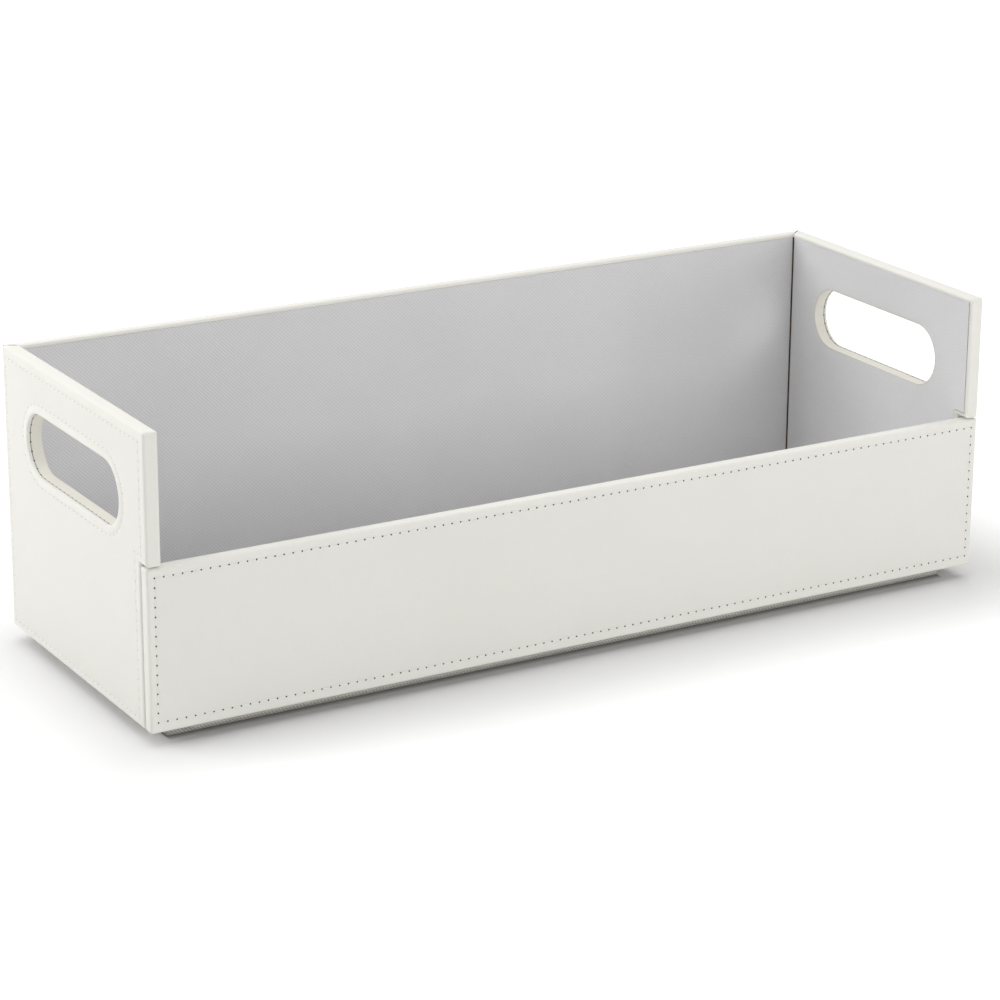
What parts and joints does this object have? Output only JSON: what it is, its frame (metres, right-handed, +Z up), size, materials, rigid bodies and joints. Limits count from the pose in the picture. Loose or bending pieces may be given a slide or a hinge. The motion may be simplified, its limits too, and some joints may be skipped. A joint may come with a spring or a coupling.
{
  "type": "disc case storage box",
  "caption": "Long open-top storage box of leatherette-wrapped panels with a cloth lining, a hand hole in each end and a low front flap that drops forward on a cloth hinge.",
  "frame": {"origin": "on the surface that the box stands on, under the middle of its outline", "axes": "+X along the box to the right end, +Y from the front flap to the back wall, +Z up"},
  "size_m": [0.448, 0.156, 0.1448],
  "materials": {
    "leatherette": "smooth ivory leatherette with a soft sheen and a fine grain",
    "lining": "light grey twill cloth, matt",
    "base_cloth": "grey-brown twill cloth, matt",
    "board": "dark brown hardboard, hidden under the covers",
    "steel": "plain plated steel"
  },
  "bodies": {
    "box": {"plinth_board": "board", "plinth_wrap": "base_cloth", "bottom_board": "board", "floor_lining": "lining", "hinge_floor_leaf": "base_cloth", "left_end_board": "board", "left_end_cover": "leatherette", "left_end_lining": "lining", "left_notch_facing": "leatherette", "left_handle_sleeve": "leatherette", "left_magnet": "steel", "right_end_board": "board", "right_end_cover": "leatherette", "right_end_lining": "lining", "right_notch_facing": "leatherette", "right_handle_sleeve": "leatherette", "right_magnet": "steel", "back_board": "board", "back_cover": "leatherette", "back_lining": "lining"},
    "flap": {"flap_board": "board", "flap_cover": "leatherette", "flap_lining": "lining", "hinge_flap_leaf": "base_cloth", "left_strike_plate": "steel", "right_strike_plate": "steel"}
  },
  "joints": [
    {"name": "flap_hinge", "type": "hinge", "parent": "box", "child": "flap", "pos_m": [0, -0.0716, 0.0068], "axis": [1, 0, 0], "range_deg": [0, 90]}
  ]
}
